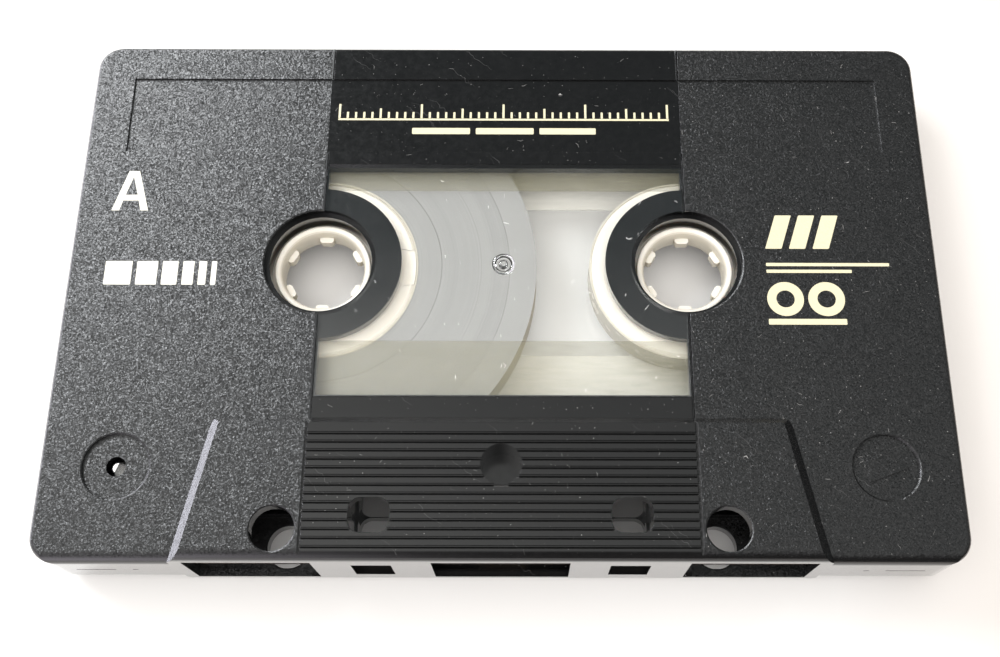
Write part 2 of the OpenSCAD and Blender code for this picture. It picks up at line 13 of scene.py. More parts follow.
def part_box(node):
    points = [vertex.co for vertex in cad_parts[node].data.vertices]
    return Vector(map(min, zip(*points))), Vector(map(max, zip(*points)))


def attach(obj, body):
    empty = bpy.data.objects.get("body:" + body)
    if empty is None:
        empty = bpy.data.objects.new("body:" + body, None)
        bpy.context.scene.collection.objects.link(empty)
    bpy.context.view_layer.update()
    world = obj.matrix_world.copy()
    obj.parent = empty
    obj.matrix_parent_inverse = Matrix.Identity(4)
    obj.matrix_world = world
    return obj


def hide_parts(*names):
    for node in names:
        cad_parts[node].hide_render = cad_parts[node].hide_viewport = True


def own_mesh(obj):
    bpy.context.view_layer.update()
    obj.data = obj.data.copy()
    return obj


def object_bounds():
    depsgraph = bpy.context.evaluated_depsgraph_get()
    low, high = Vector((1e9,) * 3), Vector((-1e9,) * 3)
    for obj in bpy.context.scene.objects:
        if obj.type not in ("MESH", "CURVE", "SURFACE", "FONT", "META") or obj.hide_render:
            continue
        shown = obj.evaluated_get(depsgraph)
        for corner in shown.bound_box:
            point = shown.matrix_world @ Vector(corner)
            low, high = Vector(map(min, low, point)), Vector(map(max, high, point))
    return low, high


MM = 0.001
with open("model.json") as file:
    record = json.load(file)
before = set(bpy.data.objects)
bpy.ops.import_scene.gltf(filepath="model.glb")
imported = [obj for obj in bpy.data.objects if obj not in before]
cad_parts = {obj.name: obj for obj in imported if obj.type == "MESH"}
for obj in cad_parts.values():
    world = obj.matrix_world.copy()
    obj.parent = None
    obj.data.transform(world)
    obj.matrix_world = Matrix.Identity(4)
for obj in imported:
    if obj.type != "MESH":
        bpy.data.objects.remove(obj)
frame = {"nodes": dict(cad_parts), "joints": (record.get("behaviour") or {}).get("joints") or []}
cad_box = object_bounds()
nodes = frame["nodes"]

# ---------- Places read from the frame ----------

JOINTS = {j["name"]: j for j in frame["joints"]}
SUPPLY = JOINTS["supply_reel_spin"]["pos_m"]
TAKEUP = JOINTS["takeup_reel_spin"]["pos_m"]
WINDOW_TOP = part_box("window_a")[1].z
MID_Z = SUPPLY[2]
HALF_BODY = (WINDOW_TOP - MID_Z) / MM
GROOVE_X = 21.15
LABEL_DEPTH = 0.2

# Millimetres, in plan: marker discs, round holes through the shell, and the rings on the windows
DISC_X, DISC_Y, DISC_R = 41.85, -21.5, 3.64
PILOT_HOLE_R = 1.2
CAPSTAN = (24.1, -28.6, 2.4)
HUB_HOLE_R = 6.44
GATE_Y = 2.52

# ---------- Node helper ----------


class Graph:
    """One node material. Its calls make a node, set or link its inputs, and return an output."""

    def __init__(self, name):
        self.mat = bpy.data.materials.new(name)
        self.mat.use_nodes = True
        self.tree = self.mat.node_tree
        self.tree.nodes.clear()
        self.out = self.tree.nodes.new("ShaderNodeOutputMaterial")
        place = self.add("ShaderNodeTexCoord").outputs["Object"]
        self.mm = self.vector("SCALE", place, scale=1 / MM)

    def add(self, kind, inputs=None, **props):
        node = self.tree.nodes.new(kind)
        for key, value in props.items():
            setattr(node, key, value)
        for key, value in (inputs or {}).items():
            self.feed(node.inputs[key], value)
        return node

    def feed(self, socket, value):
        if isinstance(value, bpy.types.NodeSocket):
            self.tree.links.new(value, socket)
        elif value is not None:
            socket.default_value = value

    def math(self, op, a, b=None, c=None, clamp=False):
        inputs = {i: v for i, v in enumerate((a, b, c)) if v is not None}
        return self.add("ShaderNodeMath", inputs, operation=op, use_clamp=clamp).outputs[0]

    def vector(self, op, a, b=None, scale=None):
        node = self.add("ShaderNodeVectorMath", {0: a}, operation=op)
        if b is not None:
            self.feed(node.inputs[1], b)
        if scale is not None:
            self.feed(node.inputs["Scale"], scale)
        return node.outputs["Value"] if op in ("LENGTH", "DOT_PRODUCT") else node.outputs[0]

    def span(self, value, low, high, start=0.0, end=1.0):
        inputs = {0: value, 1: low, 2: high, 3: start, 4: end}
        return self.add("ShaderNodeMapRange", inputs, clamp=True).outputs[0]

    def mix(self, share, a, b):
        node = self.add("ShaderNodeMix", data_type="RGBA")
        self.feed(node.inputs["Factor"], share)
        self.feed(node.inputs["A"], a if isinstance(a, bpy.types.NodeSocket) else (*a, 1))
        self.feed(node.inputs["B"], b if isinstance(b, bpy.types.NodeSocket) else (*b, 1))
        return node.outputs["Result"]

    def noise(self, scale, detail=2.0, rough=0.5, at=None, distortion=0.0):
        inputs = {"Vector": at or self.mm, "Scale": scale, "Detail": detail, "Roughness": rough}
        inputs["Distortion"] = distortion
        return self.add("ShaderNodeTexNoise", inputs).outputs[0]

    def cells(self, scale, at, dims="2D"):
        """Distance to the nearest scattered point, and that point's random colour."""
        node = self.add("ShaderNodeTexVoronoi", {"Vector": at, "Scale": scale}, voronoi_dimensions=dims)
        return node.outputs["Distance"], node.outputs["Color"]

    def parts(self, vec):
        return self.add("ShaderNodeSeparateXYZ", {0: vec}).outputs

    def bump(self, height, depth_mm, normal=None):
        inputs = {"Height": height, "Distance": depth_mm * MM, "Strength": 1.0, "Normal": normal}
        return self.add("ShaderNodeBump", inputs).outputs[0]

    def principled(self, **inputs):
        node = self.add("ShaderNodeBsdfPrincipled", {k.replace("_", " "): v for k, v in inputs.items()})
        self.tree.links.new(node.outputs[0], self.out.inputs["Surface"])
        return node


def specks(g, seed, density, size_mm, cell_mm=1.6):
    """Mask of small round specks, scattered over the faces that lie in plan."""
    shifted = g.vector("ADD", g.mm, (seed * 7.3, seed * 3.1, 0.0))
    distance, colour = g.cells(1 / cell_mm, shifted)
    pick = g.parts(colour)
    keep = g.math("LESS_THAN", pick[0], density)
    size = g.math("MULTIPLY", pick[1], size_mm / cell_mm)
    return g.math("MULTIPLY", keep, g.math("LESS_THAN", distance, size))


def fibres(g, angle, density, length_mm, width_mm):
    """Mask of short curved lint fibres or scratches that lie near one direction."""
    bend = g.noise(0.9, 1.0)
    turned = g.add(
        "ShaderNodeVectorRotate",
        {"Vector": g.mm, "Angle": math.radians(angle)},
        rotation_type="Z_AXIS",
    ).outputs[0]
    x, y, _ = g.parts(turned)
    y = g.math("ADD", y, g.math("MULTIPLY", bend, 1.2))
    stretch = length_mm / width_mm
    cell = length_mm * 2.2
    lay = g.add("ShaderNodeCombineXYZ", {0: x, 1: g.math("MULTIPLY", y, stretch), 2: 0.0}).outputs[0]
    distance, colour = g.cells(1 / cell, lay)
    pick = g.parts(colour)
    keep = g.math("LESS_THAN", pick[0], density)
    size = g.math("MULTIPLY", pick[1], 0.5 * length_mm / cell)
    return g.math("MULTIPLY", keep, g.math("LESS_THAN", distance, size))


def around(g, x, y):
    """Distance in plan from the axis at (x, y), in millimetres, and the level vector away from it."""
    away = g.vector("MULTIPLY", g.vector("SUBTRACT", g.mm, (x, y, 0.0)), (1.0, 1.0, 0.0))
    return g.vector("LENGTH", away), away


def ring_mask(g, x, y, radius, width):
    """Soft line along a circle round (x, y), in millimetres."""
    off = g.math("ABSOLUTE", g.math("SUBTRACT", around(g, x, y)[0], radius))
    return g.span(off, 0.0, width, 1.0, 0.0)


def facing_up(g):
    """How far a face turns up or down: 1 lies flat and 0 stands upright."""
    return g.math("ABSOLUTE", g.parts(g.add("ShaderNodeNewGeometry").outputs["True Normal"])[2])


def rim_lean(g, x, y, radius, width=0.15, amount=0.53):
    """Turns the normal in towards the axis on the rounded rim of a round hole."""
    r, away = around(g, x, y)
    rim = g.math("MULTIPLY", g.math("GREATER_THAN", r, radius), g.math("LESS_THAN", r, radius + width))
    inward = g.vector("SCALE", g.vector("NORMALIZE", away), scale=-amount)
    return g.vector("SCALE", inward, scale=rim)


# ---------- Materials ----------


# Round openings in the faces of the shell: centre and radius in millimetres
RIMS = []
for mirror in (-1, 1):
    RIMS.append((mirror * DISC_X, DISC_Y, DISC_R))
    RIMS.append((mirror * TAKEUP[0] / MM, TAKEUP[1] / MM, HUB_HOLE_R))
    RIMS.append((mirror * CAPSTAN[0], CAPSTAN[1], CAPSTAN[2]))


def shell_material():
    g = Graph("shell_plastic")
    x, _, z = g.parts(g.mm)
    level = facing_up(g)
    flat = g.span(level, 0.78, 0.92)
    out_z = g.math("ABSOLUTE", g.math("SUBTRACT", z, MID_Z / MM))
    outside = g.math("GREATER_THAN", out_z, HALF_BODY - 0.4)
    side = g.math("GREATER_THAN", g.math("ABSOLUTE", x), GROOVE_X + 0.1)
    face = g.math("MULTIPLY", flat, outside)
    grain_area = g.math("MULTIPLY", face, side)

    # Spark-eroded grain of small tilted facets on the side panels, and faint waviness elsewhere
    grain = g.math("ADD", g.noise(4.6, 2.0, 0.5), g.math("MULTIPLY", g.noise(9.5, 2.0, 0.6), 0.6))
    facets = g.vector("SUBTRACT", g.cells(7.5, g.mm, "3D")[1], (0.5, 0.5, 0.5))
    tilt = g.vector("SCALE", facets, scale=g.math("MULTIPLY", grain_area, 0.36))
    wave = g.noise(0.35, 1.0)
    height = g.math("MULTIPLY", grain, grain_area)
    height = g.math("ADD", height, g.math("MULTIPLY", wave, 0.12))

    # Faint rings of ejector pins in the four corners
    marks = ring_mask(g, -46.6, -28.6, 2.5, 0.12)
    for mx, my in ((46.6, -28.6), (-47.6, 29.6), (47.6, 29.6)):
        marks = g.math("ADD", marks, ring_mask(g, mx, my, 2.5, 0.12))
    height = g.math("ADD", height, g.math("MULTIPLY", g.math("MULTIPLY", marks, face), 0.12))
    round_edges = g.add("ShaderNodeBevel", {"Radius": 0.05 * MM}, samples=4).outputs[0]
    normal = g.vector("ADD", g.bump(height, 0.045, round_edges), tilt)

    # The sloping sides of the head block and the steps in the marker discs are slightly crowned
    slope = g.math("MULTIPLY", g.math("GREATER_THAN", level, 0.35), g.math("LESS_THAN", level, 0.75))
    slope = g.math("MULTIPLY", slope, g.math("GREATER_THAN", out_z, HALF_BODY + 0.05))
    upward = g.math("SIGN", g.math("SUBTRACT", z, MID_Z / MM))
    crown = g.math("MULTIPLY", g.math("MULTIPLY", upward, slope), 0.6)
    for cx in (-DISC_X, DISC_X):
        r = around(g, cx, DISC_Y)[0]
        wall = g.math("MULTIPLY", g.math("LESS_THAN", level, 0.35), g.math("LESS_THAN", r, DISC_R + 0.06))
        wall = g.math("MULTIPLY", wall, g.math("GREATER_THAN", r, PILOT_HOLE_R))
        crown = g.math("ADD", crown, g.math("MULTIPLY", g.math("MULTIPLY", upward, wall), 0.82))
    for cx, cy, radius in RIMS:
        lean = rim_lean(g, cx, cy, radius)
        normal = g.vector("ADD", normal, g.vector("SCALE", lean, scale=face))
    normal = g.vector("ADD", normal, g.add("ShaderNodeCombineXYZ", {2: crown}).outputs[0])
    normal = g.vector("NORMALIZE", normal)

    # Dust, lint and hairline scratches, more of them on the right
    worn = g.noise(0.09, 2.0, 0.5)
    dust = specks(g, 1, 0.5, 0.05, 1.3)
    dust = g.math("MAXIMUM", dust, specks(g, 2, 0.18, 0.035, 0.9))
    for angle in (15, 75, 130):
        dust = g.math("MAXIMUM", dust, fibres(g, angle, 0.003, 0.7, 0.04))
    right = g.span(x, -40.0, 30.0, 0.25, 1.0)
    amount = g.math("MULTIPLY", g.span(worn, 0.35, 0.6, 0.35, 1.0), right)
    dust = g.math("MULTIPLY", g.math("MULTIPLY", dust, face), amount)
    hair = g.math("MULTIPLY", fibres(g, 40, 0.03, 5.0, 0.05), face)

    tone = g.mix(g.noise(0.2, 3.0), (0.0042, 0.0043, 0.0043), (0.0062, 0.0061, 0.0060))
    colour = g.mix(dust, tone, (0.40, 0.395, 0.385))
    colour = g.mix(g.math("MULTIPLY", hair, 0.12), colour, (0.4, 0.4, 0.4))
    smooth = g.span(g.noise(1.3, 4.0, 0.7), 0.3, 0.7, 0.13, 0.24)
    rough = g.math("ADD", g.math("MULTIPLY", grain_area, 0.14), smooth)
    rough = g.math("ADD", rough, g.math("MULTIPLY", dust, 0.5), clamp=True)
    polished = g.math("SUBTRACT", 1.0, flat)
    g.principled(
        Base_Color=colour,
        Roughness=rough,
        Normal=normal,
        IOR=1.47,
        Coat_Weight=polished,
        Coat_Roughness=0.08,
    )
    return g.mat


def window_material():
    g = Graph("window_plastic")
    dust = specks(g, 4, 0.12, 0.045)
    for angle in (25, 110):
        dust = g.math("MAXIMUM", dust, fibres(g, angle, 0.0015, 0.7, 0.035))
    dust = g.math("MULTIPLY", dust, g.span(facing_up(g), 0.9, 0.97))
    clear = g.math("SUBTRACT", 1.0, dust)
    hair = g.math("MULTIPLY", fibres(g, 60, 0.02, 4.0, 0.05), 0.25)
    rough = g.math("ADD", g.math("ADD", g.math("MULTIPLY", dust, 0.6), hair), 0.015)
    wave = g.bump(g.noise(0.18, 1.0), 0.02)
    g.principled(
        Base_Color=(0.985, 0.99, 0.98, 1.0),
        Roughness=rough,
        Transmission_Weight=clear,
        IOR=1.5,
        Normal=wave,
    )
    return g.mat


def sheet_material(name, thin, thick, low, high):
    """Clear film, with cloudy streaks that cover a share of what lies behind it."""
    g = Graph(name)
    streaks = g.vector("MULTIPLY", g.mm, (1.0, 6.0, 0.0))
    body = g.span(g.noise(0.3, 3.0, 0.6, streaks), 0.3, 0.7, thin, thick)
    colour = g.mix(g.noise(0.4, 3.0), low, high)
    g.principled(Base_Color=colour, Roughness=0.42, Alpha=body, Normal=g.bump(g.noise(0.5, 2.0), 0.01))
    return g.mat


def white_material(name, low, high, rough, centre):
    """Moulded acetal: faint flow clouds, painted shade on its upright walls, and turning lines round its
    centre.
    """
    g = Graph(name)
    cloud = g.noise(0.5, 4.0, 0.6)
    height = g.noise(2.2, 3.0, 0.5)
    r = around(g, centre[0] / MM, centre[1] / MM)[0]
    lines = g.noise(9.0, 1.0, 0.5, g.add("ShaderNodeCombineXYZ", {0: r, 1: 0.0, 2: 0.0}).outputs[0])
    height = g.math("ADD", height, g.math("MULTIPLY", lines, 0.5))
    edges = g.add("ShaderNodeBevel", {"Radius": 0.12 * MM}, samples=4).outputs[0]
    # Painted shade: upright faces are darker and yellower, standing in for the shade in the bores
    wall = g.span(facing_up(g), 0.3, 0.7, 0.7, 0.0)
    g.principled(
        Base_Color=g.mix(wall, g.mix(cloud, low, high), (0.50, 0.46, 0.37)),
        Roughness=g.span(g.noise(1.5, 3.0), 0.3, 0.7, rough - 0.05, rough + 0.08),
        Normal=g.bump(height, 0.006, edges),
        IOR=1.48,
        Subsurface_Weight=0.12,
        Subsurface_Radius=(1.2 * MM, 0.9 * MM, 0.6 * MM),
        Subsurface_Scale=1.0,
    )
    return g.mat


def pack_material():
    """Wound tape: the edges of the turns form fine rings, with a few deeper steps, round the hub."""
    g = Graph("tape_pack_edges")
    r = around(g, SUPPLY[0] / MM, SUPPLY[1] / MM)[0]
    along_r = g.add("ShaderNodeCombineXYZ", {0: r, 1: 0.0, 2: 0.0}).outputs[0]
    turns = g.noise(5.0, 4.0, 0.75, along_r)
    bands = g.noise(0.55, 2.0, 0.5, along_r)
    # The wound edges are light grey: partly the tape's edge colour, partly a painted sheen on them
    tone = g.mix(g.span(turns, 0.3, 0.7), (0.235, 0.237, 0.23), (0.295, 0.297, 0.287))
    tone = g.mix(g.span(bands, 0.35, 0.65, 0.0, 0.35), tone, (0.20, 0.203, 0.197))
    outer = g.span(r, 21.9, 22.05, 0.0, 0.5)
    tone = g.mix(outer, tone, (0.29, 0.292, 0.282))
    wobble = g.math("MULTIPLY", g.math("SUBTRACT", g.noise(0.12, 1.0), 0.5), 0.25)
    waved = g.math("ADD", r, wobble)
    lines = []
    deep_steps = ((13.98, 0.11, 0.75), (18.65, 0.07, 0.3), (21.95, 0.1, 0.55), (20.2, 0.05, 0.15))
    for radius, width, dark in deep_steps:
        off = g.math("ABSOLUTE", g.math("SUBTRACT", waved, radius))
        lines.append(g.math("MULTIPLY", g.span(off, 0.0, width, 1.0, 0.0), dark))
    steps = lines[0]
    for line in lines[1:]:
        steps = g.math("MAXIMUM", steps, line)
    tone = g.mix(steps, tone, (0.10, 0.095, 0.09))

    # Painted light: the round wall of the pack is a pale tan instead of the dark glossy tape
    tone = g.mix(g.span(facing_up(g), 0.5, 0.8), (0.40, 0.35, 0.26), tone)
    height = g.math("SUBTRACT", g.math("MULTIPLY", turns, 0.5), steps)
    g.principled(
        Base_Color=tone,
        Roughness=g.span(turns, 0.3, 0.7, 0.46, 0.58),
        Normal=g.bump(height, 0.02),
        IOR=1.5,
    )
    return g.mat


def tape_material():
    g = Graph("tape_coating")
    streak = g.noise(0.8, 3.0, 0.6, g.vector("MULTIPLY", g.mm, (0.1, 1.0, 5.0)))
    g.principled(
        Base_Color=g.mix(streak, (0.022, 0.015, 0.012), (0.042, 0.028, 0.02)),
        Roughness=g.span(streak, 0.3, 0.7, 0.14, 0.26),
        Normal=g.bump(streak, 0.004),
        IOR=1.6,
    )
    return g.mat


def leader_material():
    g = Graph("leader_film")
    cloud = g.noise(0.8, 3.0)
    g.principled(
        Base_Color=g.mix(cloud, (0.62, 0.59, 0.5), (0.72, 0.69, 0.6)),
        Roughness=g.span(cloud, 0.3, 0.7, 0.18, 0.3),
        Alpha=0.85,
        Normal=g.bump(cloud, 0.005),
    )
    return g.mat


def metal_material(name, low, high, rough, stretch, scale=2.0, tarnish=0.0):
    """Drawn or rolled metal: streaks along one direction and a little tarnish."""
    g = Graph(name)
    streak = g.noise(scale, 4.0, 0.65, g.vector("MULTIPLY", g.mm, stretch))
    spots = g.span(g.noise(0.7, 4.0, 0.7), 0.5, 0.8, 0.0, tarnish)
    colour = g.mix(spots, g.mix(streak, low, high), (0.16, 0.13, 0.1))
    edges = g.add("ShaderNodeBevel", {"Radius": 0.05 * MM}, samples=4).outputs[0]
    g.principled(
        Base_Color=colour,
        Metallic=1.0,
        Roughness=g.span(streak, 0.3, 0.7, rough - 0.07, rough + 0.1),
        Normal=g.bump(streak, 0.004, edges),
    )
    return g.mat


def felt_material():
    g = Graph("felt")
    fuzz = g.noise(6.0, 5.0, 0.75, distortion=0.6)
    strands = fibres(g, 20, 0.5, 0.6, 0.04)
    height = g.math("ADD", fuzz, g.math("MULTIPLY", strands, 0.3))
    g.principled(
        Base_Color=g.mix(fuzz, (0.34, 0.25, 0.16), (0.62, 0.52, 0.38)),
        Roughness=0.95,
        Normal=g.bump(height, 0.09),
        Sheen_Weight=0.4,
        Sheen_Roughness=0.5,
    )
    return g.mat


def ink_material(name, low, high):
    """Screen print: slightly uneven cover, with the grain of the plastic showing through."""
    g = Graph(name)
    cover = g.noise(4.0, 4.0, 0.7)
    pits = g.span(g.noise(7.0, 3.0, 0.6), 0.66, 0.74, 0.0, 0.35)
    colour = g.mix(pits, g.mix(cover, low, high), (0.1, 0.1, 0.09))
    g.principled(
        Base_Color=colour,
        Roughness=g.span(cover, 0.3, 0.7, 0.42, 0.6),
        Normal=g.bump(g.noise(3.0, 3.0, 0.62), 0.03),
    )
    return g.mat


def floor_material():
    """White paper, with painted shade towards the front and a painted warm, dim shadow to the right of the
    cassette.
    """
    g = Graph("pale_floor")
    mottle = g.mix(g.noise(0.02, 3.0, 0.5), (0.90, 0.90, 0.895), (0.94, 0.94, 0.935))
    x, y, _ = g.parts(g.mm)
    # Painted shade: the paper is darker towards the front of the cassette
    near = g.mix(g.span(y, -20.0, -60.0), mottle, (0.66, 0.655, 0.65))
    # Painted shadow: warm and dim to the right of the cassette, fading out further right
    warm = g.math("MINIMUM", g.span(x, 38.0, 80.0), g.span(x, 110.0, 260.0, 1.0, 0.0))
    g.principled(
        Base_Color=g.mix(warm, near, (0.50, 0.455, 0.41)),
        Roughness=0.75,
        Normal=g.bump(g.noise(1.2, 3.0), 0.01),
    )
    return g.mat


def paint(material, *names):
    for name in names:
        data = nodes[name].data
        if not data.materials:
            data.materials.append(material)
        for i in range(len(data.materials)):
            data.materials[i] = material


shell = shell_material()
window = window_material()
paint(shell, "shell_a", "shell_b")
paint(window, "window_a", "window_b")
# Film A's dark yellow is partly its own tint, partly painted shade on the pack beneath, as it casts no shadow
film_a = sheet_material("slip_film_a", 0.22, 0.27, (0.13, 0.115, 0.04), (0.19, 0.17, 0.08))
film_b = sheet_material("slip_film_b", 0.42, 0.50, (0.90, 0.89, 0.81), (0.95, 0.94, 0.87))
paint(film_a, "slip_sheet_a")
paint(film_b, "slip_sheet_b")
WHITE_LOW, WHITE_HIGH = (0.78, 0.745, 0.66), (0.86, 0.83, 0.75)
for names, centre in ((("supply_hub", "supply_clamp"), SUPPLY), (("takeup_hub", "takeup_clamp"), TAKEUP)):
    paint(white_material(names[0] + "_acetal", WHITE_LOW, WHITE_HIGH, 0.36, centre), *names)
for side in ("left", "right"):
    pivot = JOINTS[side + "_roller_spin"]["pos_m"]
    paint(white_material(side + "_roller_acetal", WHITE_LOW, WHITE_HIGH, 0.32, pivot), side + "_guide_roller")
paint(pack_material(), "tape_pack")
paint(tape_material(), "tape_run")
paint(leader_material(), "supply_leader", "takeup_leader")
pin_steel = metal_material("pin_steel", (0.5, 0.5, 0.5), (0.66, 0.66, 0.66), 0.24, (4, 4, 0.4))
screw_steel = metal_material(
    "screw_steel", (0.55, 0.55, 0.56), (0.78, 0.77, 0.74), 0.22, (2, 2, 2), 3.0, 0.35
)
shield_metal = metal_material(
    "shield_sheet", (0.34, 0.34, 0.35), (0.52, 0.52, 0.52), 0.36, (0.2, 1, 4), 2.0, 0.4
)
spring_metal = metal_material(
    "spring_bronze", (0.52, 0.32, 0.16), (0.78, 0.53, 0.3), 0.26, (0.2, 1, 5), 2.0, 0.3
)
paint(pin_steel, "left_roller_pin", "right_roller_pin")
paint(screw_steel, "case_screws")
paint(shield_metal, "magnetic_shield")
paint(spring_metal, "pad_spring")
felt = felt_material()
paint(felt, "pressure_pad")

# Light reaches what lies behind the clear pieces
for name in ("window_a", "window_b", "slip_sheet_a", "slip_sheet_b"):
    nodes[name].visible_shadow = False
    nodes[name].visible_diffuse = False

# ---------- Mesh helpers ----------


def new_object(name, bm, material, body):
    bmesh.ops.recalc_face_normals(bm, faces=bm.faces)
    mesh = bpy.data.meshes.new(name)
    bm.to_mesh(mesh)
    bm.free()
    mesh.materials.append(material)
    obj = bpy.data.objects.new(name, mesh)
    bpy.context.scene.collection.objects.link(obj)
    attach(obj, body)
    return obj


def prism(bm, loops, low, high):
    """A closed solid between two heights, from an outline followed by the holes in it."""
    levels = [[bm.verts.new((x, y, z)) for loop in loops for x, y in loop] for z in (low, high)]
    start = 0
    for loop in loops:
        for i in range(len(loop)):
            j = start + (i + 1) % len(loop)
            bm.faces.new((levels[0][start + i], levels[0][j], levels[1][j], levels[1][start + i]))
        start += len(loop)
    for triangle in tessellate_polygon([[Vector((x, y, 0)) for x, y in loop] for loop in loops]):
        for level in levels:
            bm.faces.new([level[i] for i in triangle])


def rounded_box(x0, y0, x1, y1, r=0.12, lean=0.0):
    """Outline of a bar with round corners; lean slides its top edge sideways."""
    points = []
    corners = ((x1 - r, y1 - r, 0), (x0 + r, y1 - r, 90), (x0 + r, y0 + r, 180), (x1 - r, y0 + r, 270))
    for cx, cy, start in corners:
        for k in range(4):
            a = math.radians(start + 30 * k)
            px, py = cx + r * math.cos(a), cy + r * math.sin(a)
            points.append((px + lean * (py - y0) / (y1 - y0), py))
    return points


def circle(cx, cy, r, n=48):
    return [(cx + r * math.cos(2 * math.pi * i / n), cy + r * math.sin(2 * math.pi * i / n)) for i in range(n)]


# ---------- Printed marks ----------

INK_T = 0.014
cream = ink_material("ink_cream", (0.60, 0.56, 0.37), (0.70, 0.66, 0.46))
pale = ink_material("ink_pale", (0.72, 0.71, 0.62), (0.82, 0.81, 0.74))


def printed(name, shapes, depth, side, material):
    """Thin printed marks on face A, or on face B turned over about the Y axis."""
    top = HALF_BODY - depth
    bm = bmesh.new()
    for loops in shapes:
        prism(bm, loops, top - 0.01, top + INK_T)
    turn = Matrix.Rotation(math.pi, 4, "Y") if side == "b" else Matrix.Identity(4)
    place = Matrix.Translation((0, 0, MID_Z)) @ turn @ Matrix.Scale(MM, 4)
    bmesh.ops.transform(bm, matrix=place, verts=bm.verts)
    return new_object(name + "_" + side, bm, material, "case")


def letter_a():
    """Straight-stroked A with a flat top."""
    low, high, bar_low, bar_high, foot, stem, flat = 9.3, 14.5, 10.6, 11.35, 2.15, 0.9, 0.62
    mid = -43.95

    def inner(y):
        return (foot - stem) - (foot - stem + 0.12) * (y - low) / (high - low)

    outline = [(foot, low), (flat, high), (-flat, high), (-foot, low), (stem - foot, low)]
    outline += [(-inner(bar_low), bar_low), (inner(bar_low), bar_low), (foot - stem, low)]
    hole = [(inner(bar_high), bar_high), (0.0, 13.75), (-inner(bar_high), bar_high)]
    return [[[(mid + x, y) for x, y in loop] for loop in (outline, hole)]]


def letter_b():
    """Round-bowled B of even strokes."""
    low, mid, high, left, stem = 9.3, 12.05, 14.5, -45.9, 0.95
    outline, holes = [(left, low)], []
    for y0, y1 in ((low, mid), (mid, high)):
        r, cy = (y1 - y0) / 2, (y0 + y1) / 2
        reach = left + 3.9 - r - (0.25 if y0 == mid else 0.0)
        turn = [math.radians(-90 + 15 * k) for k in range(13)]
        outline += [(reach + r * math.cos(a), cy + r * math.sin(a)) for a in turn]
        ri = r - 0.72
        hole = [(reach + ri * math.cos(a), cy + ri * math.sin(a)) for a in turn]
        holes.append(hole + [(left + stem, cy + ri), (left + stem, cy - ri)])
    outline.append((left, high))
    return [[outline] + holes]


def level_bars():
    """Row of upright bars that grow narrower."""
    shapes, x = [], -45.9
    for width in (3.1, 2.4, 1.8, 1.3, 0.9, 0.6):
        shapes.append([rounded_box(x, -0.15, x + width, 2.8, 0.1)])
        x += width + 0.55
    return shapes


def tick_scale():
    """Ruler-like scale over a short plain rule."""
    shapes = [[rounded_box(-20.2, 21.65, 19.9, 21.9, 0.05)]]
    for k in range(41):
        x = -20.07 + k * 0.995
        tall = 1.95 if k % 10 == 0 else 1.35 if k % 5 == 0 else 0.85
        shapes.append([rounded_box(x - 0.13, 21.95, x + 0.13, 21.95 + tall, 0.05)])
    for x0, x1 in ((-11.2, -4.2), (-3.5, 3.5), (4.2, 11.0)):
        shapes.append([rounded_box(x0, 19.75, x1, 20.6, 0.12)])
    return shapes


def slanted_bars():
    return [[rounded_box(30.4 + k * 2.75, 4.55, 32.3 + k * 2.75, 8.85, 0.1, 1.4)] for k in range(3)]


def double_rule():
    return [[rounded_box(30.35, 2.35, 44.6, 2.75, 0.08)], [rounded_box(30.35, 1.5, 40.2, 1.9, 0.08)]]


def twin_reels():
    """Plain sign for tape: two rings on a bar."""
    left, right = (32.3, -1.75), (37.0, -1.75)
    shapes = [[circle(*c, 2.1), circle(*c, 1.05)] for c in (left, right)]
    return shapes + [[rounded_box(30.2, -4.9, 39.1, -4.2, 0.1)]]


for side, letter in (("a", letter_a()), ("b", letter_b())):
    printed("print_letter", letter, 0.0, side, pale)
    printed("print_level_bars", level_bars(), 0.0, side, pale)
    printed("print_scale", tick_scale(), LABEL_DEPTH, side, cream)
    printed("print_slanted_bars", slanted_bars(), 0.0, side, cream)
    printed("print_rules", double_rule(), 0.0, side, cream)
    printed("print_reel_sign", twin_reels(), 0.0, side, cream)

# ---------- Window gate marks ----------


def gate_mark(side):
    """Low clear dome left by the moulding gate, inside a clear ring on a window plate."""
    dome = ((0.0, 0.16), (0.25, 0.15), (0.42, 0.10), (0.53, 0.02), (0.57, -0.06))
    rim = ((0.86, 0.0), (0.95, 0.07), (1.08, 0.10), (1.2, 0.07), (1.3, 0.0))
    bm = bmesh.new()
    steps = 40
    for points in (dome, rim):
        rings = []
        for r, h in points:
            if r == 0:
                rings.append([bm.verts.new((0, 0, h))] * steps)
                continue
            rings.append([bm.verts.new((px, py, h)) for px, py in circle(0.0, 0.0, r, steps)])
        if points is rim:
            rings.append(rings[0])
        for a, b in zip(rings, rings[1:]):
            for i in range(steps):
                corners = [a[i], a[(i + 1) % steps], b[(i + 1) % steps], b[i]]
                bm.faces.new(list(dict.fromkeys(corners)))
        if points is dome:
            bm.faces.new(rings[-1])
    for face in bm.faces:
        face.smooth = True
    turn = Matrix.Rotation(math.pi, 4, "Y") if side == "b" else Matrix.Identity(4)
    seat = Matrix.Translation((0.0, GATE_Y, HALF_BODY - 0.05))
    place = Matrix.Translation((0, 0, MID_Z)) @ turn @ Matrix.Scale(MM, 4) @ seat
    bmesh.ops.transform(bm, matrix=place, verts=bm.verts)
    obj = new_object("gate_mark_" + side, bm, window, "case")
    obj.visible_shadow = False
    obj.visible_diffuse = False


for side in ("a", "b"):
    gate_mark(side)

# ---------- Felt pad and leaf spring ----------


